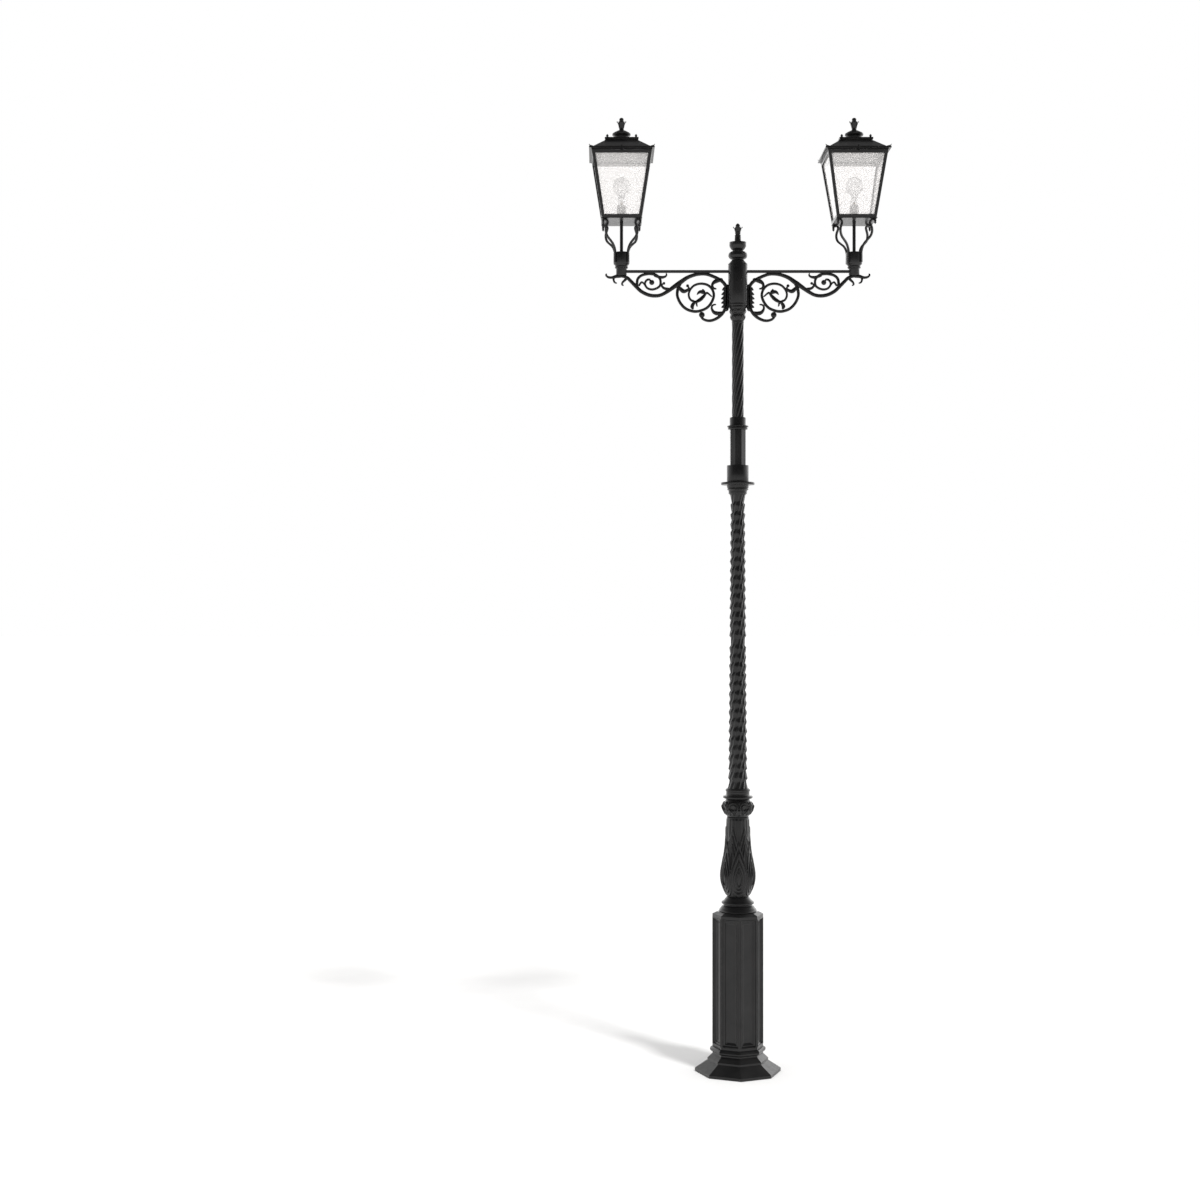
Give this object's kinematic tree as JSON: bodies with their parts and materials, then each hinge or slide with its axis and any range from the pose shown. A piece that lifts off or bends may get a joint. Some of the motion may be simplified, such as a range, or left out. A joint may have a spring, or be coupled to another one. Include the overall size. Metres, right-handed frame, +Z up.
{
  "type": "street lamp",
  "caption": "Black cast-iron street lamp: octagonal pedestal, spiral shaft, scrolled arms and glazed square lanterns with hinged roofs.",
  "frame": {"origin": "centre of the foot on the ground", "axes": "+Z up; the arms lie along X; front is -Y, the door and the roof hinges are at the back"},
  "size_m": [1.687, 0.488, 5.407],
  "materials": {
    "black_paint": "satin black paint over cast iron",
    "pane_glass": "seeded, slightly frosted",
    "bulb_glass": "clear",
    "holder_ceramic": "glazed",
    "lamp_brass": "satin",
    "steel_hardware": "zinc plated",
    "galvanised_steel": "hot-dip galvanised",
    "grey_plastic": "moulded",
    "fuse_plastic": "moulded",
    "reflector_white": "white enamel",
    "board": "varnished plywood"
  },
  "bodies": {
    "column": {"foot": "black_paint", "pedestal": "black_paint", "door_frame": "black_paint", "frame_hinge_leaves": "black_paint", "hinge_pins": "steel_hardware", "base_flange": "galvanised_steel", "core_tube": "galvanised_steel", "mounting_board": "board", "cutout_unit": "grey_plastic", "earth_stud": "lamp_brass", "pedestal_cap": "black_paint", "baluster": "black_paint", "leaf_collar": "black_paint", "shaft_base_ring": "black_paint", "lower_shaft": "black_paint", "shaft_capital": "black_paint", "spigot_sleeve": "black_paint", "octagonal_neck": "black_paint", "neck_ring": "black_paint", "upper_shaft": "black_paint", "upper_capital": "black_paint", "hub": "black_paint", "hub_cap": "black_paint", "hub_finial": "black_paint", "arm_rails": "black_paint", "scroll_bracket_left": "black_paint", "scroll_bracket_right": "black_paint", "bracket_bolts": "black_paint", "corner_pendants": "black_paint", "conduit_stems": "black_paint", "lamp_caps": "lamp_brass", "catch_keepers": "black_paint", "lantern_cup_left": "black_paint", "frog_legs_left": "black_paint", "bottom_tray_left": "black_paint", "glazing_frame_left": "black_paint", "glass_panes_left": "pane_glass", "lamp_holder_left": "holder_ceramic", "lamp_bulb_left": "bulb_glass", "lantern_cup_right": "black_paint", "frog_legs_right": "black_paint", "bottom_tray_right": "black_paint", "glazing_frame_right": "black_paint", "glass_panes_right": "pane_glass", "lamp_holder_right": "holder_ceramic", "lamp_bulb_right": "bulb_glass"},
    "door": {"access_door": "black_paint", "door_hinge_leaves": "black_paint"},
    "door_lock": {"door_lock": "steel_hardware"},
    "fuse_carrier": {"fuse_carrier": "fuse_plastic"},
    "roof_left": {"roof_left": "black_paint", "vent_cap_left": "black_paint", "roof_finials_left": "black_paint", "reflector_plate_left": "reflector_white"},
    "roof_catch_left": {"roof_catch_left": "black_paint"},
    "roof_right": {"roof_right": "black_paint", "vent_cap_right": "black_paint", "roof_finials_right": "black_paint", "reflector_plate_right": "reflector_white"},
    "roof_catch_right": {"roof_catch_right": "black_paint"}
  },
  "joints": [
    {"name": "access_door_hinge", "type": "hinge", "parent": "column", "child": "door", "pos_m": [0.01157, 0.14484, 0.5075], "axis": [0, 0, 1], "range_deg": [0, 110]},
    {"name": "door_lock_turn", "type": "hinge", "parent": "door", "child": "door_lock", "pos_m": [0.07367, 0.11348, 0.5075], "axis": [0.3827, 0.9239, 0], "range_deg": [0, 90]},
    {"name": "fuse_carrier_pull", "type": "slide", "parent": "column", "child": "fuse_carrier", "axis": [0.3827, 0.9239, 0], "range_m": [0, 0.026]},
    {"name": "roof_hinge_left", "type": "hinge", "parent": "column", "child": "roof_left", "pos_m": [-0.66, 0.176, 5.1805], "axis": [-1, 0, 0], "range_deg": [0, 95]},
    {"name": "roof_catch_turn_left", "type": "hinge", "parent": "roof_left", "child": "roof_catch_left", "pos_m": [-0.66, -0.177, 5.2], "axis": [0, 0, 1], "range_deg": [0, 90]},
    {"name": "roof_hinge_right", "type": "hinge", "parent": "column", "child": "roof_right", "pos_m": [0.66, 0.176, 5.1805], "axis": [-1, 0, 0], "range_deg": [0, 95]},
    {"name": "roof_catch_turn_right", "type": "hinge", "parent": "roof_right", "child": "roof_catch_right", "pos_m": [0.66, -0.177, 5.2], "axis": [0, 0, 1], "range_deg": [0, 90]}
  ]
}
